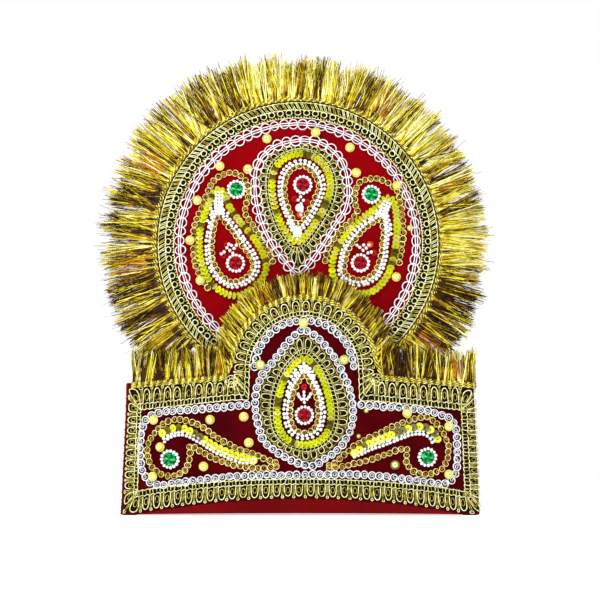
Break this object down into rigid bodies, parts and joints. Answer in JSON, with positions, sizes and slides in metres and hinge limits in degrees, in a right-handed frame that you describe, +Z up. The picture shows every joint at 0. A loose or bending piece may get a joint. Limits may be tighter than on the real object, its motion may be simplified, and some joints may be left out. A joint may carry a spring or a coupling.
{
  "type": "costume crown",
  "caption": "Costume crown with a velvet head band that rises to an arch, and a round fringed halo standing behind it, with gold lace, sequins, beads and stones.",
  "frame": {"origin": "centre of the bounding box's base, on the surface that the crown stands on", "axes": "+Z up through the halo, -Y out of the decorated front, +X to the right as seen from the front"},
  "size_m": [0.2666, 0.1184, 0.3191],
  "materials": {
    "halo_velvet": "red velvet on stiff board",
    "band_velvet": "dark red velvet on stiff board",
    "lining": "plain bright red cloth on stiff board",
    "gold_lace": "metallic yellow-gold corded net lace",
    "tinsel": "metallic gold tinsel fringe on a braid",
    "silver_trim": "looped silver cord",
    "gold_coil": "chain of small metallised copper-gold rings",
    "sequin": "lime yellow cup sequins beside opaque white seed beads",
    "emerald": "foil-backed cut green glass ringed by white seed beads",
    "ruby": "foil-backed cut red glass ringed by white seed beads",
    "pearl": "pearly cream-yellow domed bead"
  },
  "bodies": {
    "root": {"front_panel": "band_velvet", "rear_band": "lining", "halo_disc": "halo_velvet", "band_lace": "gold_lace", "halo_lace": "gold_lace", "halo_drop_lace": "gold_lace", "band_drop_lace": "gold_lace", "halo_fringe": "tinsel", "band_fringe": "tinsel", "halo_silver_trim": "silver_trim", "arch_silver_trim": "silver_trim", "halo_drop_silver_trim": "silver_trim", "band_drop_silver_trim": "silver_trim", "left_field_silver_trim": "silver_trim", "right_field_silver_trim": "silver_trim", "halo_drop_beading": "sequin", "halo_drop_inner_coil": "gold_coil", "band_drop_beading": "sequin", "band_drop_inner_coil": "gold_coil", "left_paisley_beading": "sequin", "left_paisley_inner_coil": "gold_coil", "right_paisley_beading": "sequin", "right_paisley_inner_coil": "gold_coil", "left_paisley_outer_coil": "gold_coil", "left_curl_beading": "sequin", "left_curl_coil": "gold_coil", "right_paisley_outer_coil": "gold_coil", "right_curl_beading": "sequin", "right_curl_coil": "gold_coil", "halo_drop_stone": "ruby", "left_paisley_green_stone": "emerald", "left_paisley_red_stone": "ruby", "right_paisley_green_stone": "emerald", "right_paisley_red_stone": "ruby", "band_drop_stone": "ruby", "left_curl_stone": "emerald", "right_curl_stone": "emerald", "halo_pearl_01": "pearl", "halo_pearl_02": "pearl", "halo_pearl_03": "pearl", "halo_pearl_04": "pearl", "halo_pearl_05": "pearl", "halo_pearl_06": "pearl", "halo_pearl_07": "pearl", "halo_pearl_08": "pearl", "halo_pearl_09": "pearl", "halo_pearl_10": "pearl", "band_pearl_01": "pearl", "band_pearl_02": "pearl", "band_pearl_03": "pearl", "band_pearl_04": "pearl", "band_pearl_05": "pearl", "band_pearl_06": "pearl", "band_pearl_07": "pearl", "band_pearl_08": "pearl", "band_pearl_09": "pearl", "band_pearl_10": "pearl", "band_pearl_11": "pearl", "band_pearl_12": "pearl", "band_pearl_13": "pearl"}
  },
  "joints": []
}
